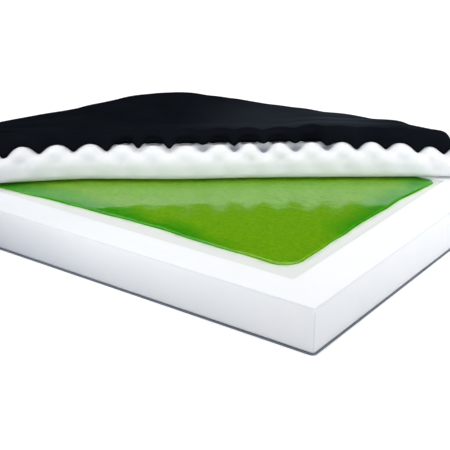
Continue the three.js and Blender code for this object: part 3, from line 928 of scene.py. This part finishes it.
def cover_tuck(u, v_hem, z_hem, v_end):
    """The part folded under, from its end to the hem: (v, z). It rests on the topper, bridges the first
    bumps behind the hem, and stays below the cover's top."""
    v = np.linspace(v_end, v_hem + HEM_TURN, TUCK_POINTS, endpoint=False)
    resting = topper_surface(u, v) + COVER_T / 2 + CLOTH_GAP
    bridging = z_hem + (CREST_Z - 0.016 - z_hem) * smooth((v - v_hem) / 0.028)
    ceiling = cover_top(np.full_like(v, u), v) - COVER_T * 2.2
    z = np.minimum(np.maximum(resting, bridging), np.maximum(ceiling, z_hem))
    return v, z_hem + (z - z_hem) * smooth((v - v_hem) / 0.012)


def cover_column(u, end, spacing):
    """One cut through the cover, from the end of the tuck round the hem, up the lip and over the top to its
    far edge: the points' v and z, and the v where the lip ends."""
    v_hem, z_hem = (float(value) for value in hem_place(u))
    v_hem = min(v_hem, end - 0.020)
    lip_end = min(v_hem + LIP_DEPTH, end - 0.010)
    v_top = lip_end + (end - lip_end) * spacing
    z_top = cover_top(np.full_like(v_top, u), v_top) - COVER_T / 2
    z_top[-1] = COVER_LO.z
    z_hem = min(z_hem, z_top[0] - 4 * HEM_TURN)
    tuck = min(TUCK_DEPTH, (end - lip_end) * 0.5)
    v_tuck, z_tuck = cover_tuck(u, v_hem, z_hem, lip_end + tuck)
    bend = np.linspace(-math.pi / 2, -math.pi, TURN_POINTS, endpoint=False)
    v_turn = v_hem + HEM_TURN + HEM_TURN * np.cos(bend)
    z_turn = z_hem + HEM_TURN + HEM_TURN * np.sin(bend)
    rise = np.linspace(0, math.pi / 2, LIP_POINTS, endpoint=False)
    z_low = z_hem + HEM_TURN
    v_lip = v_hem + (lip_end - v_hem) * (1 - np.cos(rise)) - 0.006 * np.sin(2 * rise)
    z_lip = z_low + (z_top[0] - z_low) * np.sin(rise)
    v = np.concatenate([v_tuck, v_turn, v_lip, v_top])
    return v, np.concatenate([z_tuck, z_turn, z_lip, z_top]), lip_end


def cover_painted_sheen(u, v, past_lip, folds, free):
    """Painted sheen: on the right part of the top, on the creases' ridges and in a band at the lip's bend.
    """
    ridge_sheen = np.clip(folds / 0.009, 0, 1)
    lit_right_part = smooth((u + 0.15) / 0.45) * (1 - 0.8 * smooth((u - 0.60) / 0.28))
    lit_right_part = lit_right_part * (1 - 0.6 * smooth((v - 0.35) / 0.4))
    right_sheen = lit_right_part * smooth((past_lip + 0.004) / 0.030) * (0.38 + 0.32 * ridge_sheen)
    lip_sheen = 0.06 * hump(past_lip, 0.010, 0.014)
    return free * (right_sheen + 0.10 * ridge_sheen + lip_sheen)


def cover_sheet():
    """The cover's top panel, draped over the folded topper, with its front edge folded under."""
    left = -DIAGONAL / 2 + COVER_FRONT_V * SLOPE + COVER_END_CUT
    right = DIAGONAL / 2 - COVER_FRONT_V / SLOPE - COVER_END_CUT
    us = np.linspace(left, right, COVER_COLUMNS)
    far = reach(us, COVER_X - COVER_T / 2, COVER_Y - COVER_T / 2, FOAM_CORNER_R)
    even = np.linspace(0, 1, TOP_POINTS)
    spacing = 0.3 * even + 0.35 * (1 - np.cos(math.pi * even))
    rows = TUCK_POINTS + TURN_POINTS + LIP_POINTS + TOP_POINTS
    grid = np.zeros((COVER_COLUMNS, rows, 3))
    lip_ends = np.zeros(COVER_COLUMNS)
    for i, (u, end) in enumerate(zip(us, far)):
        v, z, lip_ends[i] = cover_column(u, end, spacing)
        x, y = from_fold(np.full_like(v, u), v)
        grid[i] = np.column_stack([x, y, z])
    flat = grid.reshape(-1, 3)
    u, v = to_fold(flat[:, 0], flat[:, 1])
    index = np.tile(np.arange(rows), COVER_COLUMNS)
    on_top = smooth((index - TUCK_POINTS - TURN_POINTS - LIP_POINTS * 0.5) / 18.0)
    edge = inside(flat[:, 0], flat[:, 1], COVER_X, COVER_Y, FOAM_CORNER_R)
    free = on_top * smooth(edge / 0.05)
    soft = ripple(flat * (1, 1, 0.3), 0.42, 41) * 0.0030 + ripple(flat * (1, 1, 0.3), 0.16, 42) * 0.0008
    folds = sum(crease(u, v, *line) for line in CREASES)
    flat[:, 2] += (soft + folds) * free
    points, faces = thicken(grid, COVER_T)
    piece = solid("cover_top", points, faces, COVER)
    past_lip = v - np.repeat(lip_ends, rows)
    # painted sheen: the lit right part, highlights on the creases' ridges and a band at the lip's bend
    paint(piece, "sheen_and_cord_tone", np.tile(cover_painted_sheen(u, v, past_lip, folds, free), 2))
    return finish_piece(piece, "cover", "cover_fabric", "cover_top_panel")


BORDER_ROWS = 26
PATH_STEPS = 150  # points along each side


def standing_border(name, node, path, normals, seed):
    """A fabric wall with soft upright ripples."""
    z0, z1 = BACK_LO.z, BACK_HI.z
    heights = z0 + (z1 - z0) * np.arange(BORDER_ROWS + 1) / BORDER_ROWS
    flat = np.column_stack([np.repeat(path, BORDER_ROWS + 1, axis=0), np.tile(heights, len(path))])
    direction = np.repeat(np.column_stack([normals, np.zeros(len(normals))]), BORDER_ROWS + 1, axis=0)
    height = (flat[:, 2] - z0) / (z1 - z0)
    loose = np.sin(np.clip(height, 0, 1) * math.pi) ** 0.6
    wave = ripple(flat * (1, 1, 0.25), 0.12, seed) * 0.0012 + ripple(flat, 0.25, seed + 1) * 0.0010
    flat += direction * (wave * loose)[:, None]
    points, faces = thicken(flat.reshape(len(path), BORDER_ROWS + 1, 3), BORDER_T * 0.8)
    piece = solid(name, points, faces, COVER)
    # painted highlight on the ripples' outward bulges
    paint(piece, "sheen_and_cord_tone", np.tile(0.10 * smooth(0.5 + 300 * wave * loose), 2))
    return finish_piece(piece, "cover", "cover_fabric", node)


def standing_borders():
    path, normals = covered_path(BORDER_OUT + BORDER_T / 2, PATH_STEPS)
    corner = PATH_STEPS + CORNER_STEPS // 2
    back_path, back_normals = path[:corner + 1], normals[:corner + 1]
    back = standing_border("border_back", "cover_border_back", back_path, back_normals, 51)
    left = standing_border("border_left", "cover_border_left", path[corner:], normals[corner:], 53)


def piping():
    """The round piping in the seam above the standing borders."""
    r, proud = 0.0028, 0.0018
    z = (PIPING_LO.z + PIPING_HI.z) / 2
    path, normals = covered_path(BORDER_OUT + BORDER_T + proud, PATH_STEPS)
    angles = np.linspace(0, 2 * math.pi, 10, endpoint=False)
    section = [(r * math.cos(a), z + r * math.sin(a)) for a in angles]
    points, faces = sweep(path, normals, section)
    piece = solid("seam_piping", points, faces, COVER)
    # the piping cord's own lighter tone, all along
    paint(piece, "sheen_and_cord_tone", np.full(len(points), 0.25))
    finish_piece(piece, "cover", "cover_fabric", "side_piping")


def bottom_panel():
    lo, hi = PANEL_LO, PANEL_HI
    inset, r, half_t = 0.005, FOAM_CORNER_R + 0.010, (hi.z - lo.z) / 2
    half_x, half_y = hi.x - inset - half_t, hi.y - inset - half_t
    rings = inward(half_x, half_y, r, lo.z)[::-1]
    rings += arc_rings(half_x, half_y, r - half_t, lo.z + half_t, half_t, -90, 90, 4)
    rings += inward(half_x, half_y, r, hi.z)
    points, faces = ringed(rings, straight=80, corner=8)
    piece = solid("bottom_panel", points, faces, BOTTOM)
    finish_piece(piece, "root", "bottom_fabric", "cover_bottom_panel")


# ---- zip
ZIP_STEPS = 300  # points along each side
TOOTH_PITCH, TOOTH_HALF = 0.0030, 0.0009  # from one tooth to the next, and half a tooth's width


def zip_teeth(name, node, body, path, out0=0.0036, out1=0.0054, start=0.0):
    """A row of nylon coil: one rounded tooth at each pitch along a path of (x, y) points."""
    z0, z1 = (corner.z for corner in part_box(node))
    steps = np.linalg.norm(np.diff(path, axis=0), axis=1)
    along = np.concatenate([[0], np.cumsum(steps)])
    at = np.arange(start + TOOTH_PITCH, along[-1] - TOOTH_PITCH, TOOTH_PITCH)
    x, y = (np.interp(at, along, path[:, axis]) for axis in (0, 1))
    ahead_x, ahead_y = (np.interp(at + TOOTH_PITCH / 2, along, path[:, axis]) for axis in (0, 1))
    tx, ty = ahead_x - x, ahead_y - y
    size = np.hypot(tx, ty)
    tx, ty = tx / size, ty / size
    nx, ny = ty, -tx
    middle, swell, chamfer = (out0 + out1) / 2, 0.0002, 0.0006
    profile = [(out0, z0), (middle, z0 - swell), (out1, z0 + chamfer)]
    profile += [(out1, z1 - chamfer), (middle, z1 + swell), (out0, z1)]
    points, faces = [], []
    for k in range(len(at)):
        faces += skin(2, len(profile), first=len(points))
        for side in (-TOOTH_HALF, TOOTH_HALF):
            for out, z in profile:
                points.append((x[k] + tx[k] * side + nx[k] * out, y[k] + ty[k] * side + ny[k] * out, z))
    finish_piece(solid(name, points, faces, NYLON), body, "zip_coil", node)


def zip_tape(name, node, body, points, normals, out0=0.0022, out1=0.0032):
    """A woven strip along a path, from out0 to out1 beyond it."""
    z0, z1 = (corner.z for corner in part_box(node))
    made, faces = sweep(points, normals, rounded_section(out0, out1, z0, z1, 0.0004, 2))
    finish_piece(solid(name, made, faces, TAPE), body, "zip_tape", node)


def zip_rows():
    """The closed zip round the back and left sides, and the opened lower half along the other two, whose
    path is the closed one turned half round."""
    path, normals = covered_path(0.0, ZIP_STEPS)
    shut = path[:, 0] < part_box("zip_tape_upper_closed")[1].x
    zip_tape("zip_tape_lower_back", "zip_tape_lower_closed", "root", path, normals)
    zip_tape("zip_tape_upper_back", "zip_tape_upper_closed", "cover", path[shut], normals[shut])
    zip_teeth("zip_teeth_lower_back", "zip_coil_lower_closed", "root", path)
    zip_teeth("zip_teeth_upper_back", "zip_coil_upper_closed", "cover", path[shut], start=TOOTH_PITCH / 2)
    zip_tape("zip_tape_lower_near", "zip_tape_lower_open", "root", -path, -normals, 0.0005, 0.0036)
    zip_teeth("zip_teeth_lower_near", "zip_coil_lower_open", "root", -path, 0.0038, 0.0052)


BORDER_LAYERS, BORDER_FOLD_DEPTH = 4, 0.100
FOLDED_V = COVER_FRONT_V + 0.048  # where the folded borders begin


def folded_strip(name, node, seed):
    """A border lying folded to and fro inside the cover's lip."""
    thickness, turn = 0.0019, 0.00125
    lo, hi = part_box(node)
    v0, v1 = FOLDED_V, FOLDED_V + BORDER_FOLD_DEPTH
    ends = [to_fold(corner.x, corner.y)[0] for corner in (lo, hi)]
    u0, u1 = ends[0] + 0.06 * SLOPE, ends[1] - 0.06 * SLOPE
    path = []
    for k in range(BORDER_LAYERS):
        z = lo.z + turn + k * 2 * turn
        from_v, to_v = (v0, v1) if k % 2 == 0 else (v1, v0)
        path += [(v, z) for v in np.linspace(from_v, to_v, 9)]
        if k < BORDER_LAYERS - 1:
            side = turn if k % 2 == 0 else -turn
            angles = np.linspace(0, math.pi, 7)[1:-1]
            path += [(to_v + side * math.sin(a), z + turn * (1 - math.cos(a))) for a in angles]
    us = np.linspace(u0, u1, 60)
    grid = np.zeros((len(us), len(path), 3))
    for i, u in enumerate(us):
        for j, (v, z) in enumerate(path):
            grid[i, j] = (*from_fold(u, v), z)
    flat = grid.reshape(-1, 3)
    slide = ripple(flat * (1, 1, 0), 0.3, seed) * 0.003
    flat[:, 0] -= slide * SIN
    flat[:, 1] += slide * COS
    points, faces = thicken(grid, thickness)
    piece = finish_piece(solid(name, points, faces, COVER), "cover", "cover_fabric", node)


def folded_borders():
    """The two unzipped borders, and the opened upper half of the zip on them."""
    folded_strip("border_near_folded", "cover_border_front", 61)
    folded_strip("border_right_folded", "cover_border_right", 63)
    lo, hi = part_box("zip_tape_upper_open")
    us = np.linspace(to_fold(lo.x, lo.y)[0] + 0.015, to_fold(hi.x, hi.y)[0] - 0.015, 120)
    line = np.array([from_fold(u, FOLDED_V + 0.084) for u in us])
    normals = np.tile((SIN, -COS), (len(us), 1))
    zip_tape("zip_tape_upper_near", "zip_tape_upper_open", "cover", line, normals, 0.001, 0.023)
    zip_teeth("zip_teeth_upper_near", "zip_coil_upper_open", "cover", line, 0.001, 0.005)


def metal_nodes():
    """The slider, its pull and the end stop keep their CAD shape, with worn edges."""
    for name in ("zip_slider", "zip_pull", "zip_end_stop"):
        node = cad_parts[name]
        node.data.materials.clear()
        node.data.materials.append(METAL)
        bevel = node.modifiers.new("worn_edges", "BEVEL")
        bevel.width = 0.0003
        bevel.segments = 2
        bevel.limit_method = "ANGLE"


# ---- stage, light and camera
def camera():
    """Looks down past the near corner of the base from about eye height, 3.5 m away from it."""
    yaw, pitch = math.radians(-35.73), math.radians(22.73)
    from_corner = Vector((1.563576, -2.674266, 1.587684))
    look = Vector((math.sin(yaw) * math.cos(pitch), math.cos(yaw) * math.cos(pitch), -math.sin(pitch)))
    data = bpy.data.cameras.new("camera")
    data.sensor_width = 36.0
    data.lens = 85.5
    data.clip_end = 100
    cam = bpy.data.objects.new("camera", data)
    cam.location = Vector((FOAM_X, -FOAM_Y, BASE_TOP)) + from_corner
    cam.rotation_mode = "QUATERNION"
    cam.rotation_quaternion = look.to_track_quat("-Z", "Y")
    bpy.context.scene.collection.objects.link(cam)
    bpy.context.scene.camera = cam


def area_light(name, place, target, size, power, spread=180):
    data = bpy.data.lights.new(name, "AREA")
    data.shape = "RECTANGLE"
    data.size, data.size_y = size
    data.energy = power
    data.spread = math.radians(spread)
    light = bpy.data.objects.new(name, data)
    light.location = place
    light.rotation_mode = "QUATERNION"
    light.rotation_quaternion = (Vector(target) - Vector(place)).to_track_quat("-Z", "Y")
    bpy.context.scene.collection.objects.link(light)


def studio_light():
    """A soft dome: bright overhead and on the viewer's side, dim low down behind the object."""
    world = bpy.data.worlds.new("studio")
    world.use_nodes = True
    tree = world.node_tree
    way = tree.nodes.new("ShaderNodeTexCoord").outputs["Generated"]

    def vector_math(what, a, b):
        made = tree.nodes.new("ShaderNodeVectorMath")
        made.operation = what
        connect(tree, made.inputs[0], a)
        connect(tree, made.inputs["Scale" if what == "SCALE" else 1], b)
        return made

    def part(direction, low, high, colour):
        dot = vector_math("DOT_PRODUCT", way, direction).outputs["Value"]
        level = tree.nodes.new("ShaderNodeMapRange")
        level.interpolation_type = "SMOOTHSTEP"
        level.inputs["From Min"].default_value = low
        level.inputs["From Max"].default_value = high
        tree.links.new(dot, level.inputs["Value"])
        return vector_math("SCALE", colour, level.outputs["Result"]).outputs["Vector"]

    overhead = part((0, 0, 1), 0.50, 0.90, (2.05, 2.05, 2.05))
    front = part((0.8, -0.6, 0.0), 0.0, 0.8, (0.12, 0.145, 0.18))
    dim = vector_math("ADD", overhead, (0.02, 0.02, 0.02)).outputs["Vector"]
    total = vector_math("ADD", dim, front).outputs["Vector"]
    tree.links.new(total, tree.nodes["Background"].inputs["Color"])
    bpy.context.scene.world = world


def stage():
    """A pale floor just under the object, a soft dome and three soft lamps."""
    size, z = 30.0, -0.0005
    points = [(-size, -size, z), (size, -size, z), (size, size, z), (-size, size, z)]
    make_piece("floor", points, [(0, 1, 2, 3)], floor_material(), False)
    bpy.context.scene.view_settings.view_transform = "Standard"
    studio_light()
    area_light("key_softbox", (3.2, -3.4, 1.5), (0.9, -0.7, 0.1), (2.0, 2.0), 4.5)
    area_light("right_softbox", (4.6, 0.4, 1.6), (0.6, 0, 0.1), (2.5, 1.6), 8)
    area_light("fold_strip", (2.46, -2.03, 1.15), (0.45, 0.40, 0.24), (3.0, 0.4), 4.2, 26)


camera()
stage()
base_foam()
gel_pad()
gel_film()
topper()
cover = cover_sheet()
standing_borders()
piping()
bottom_panel()
zip_rows()
folded_borders()
metal_nodes()
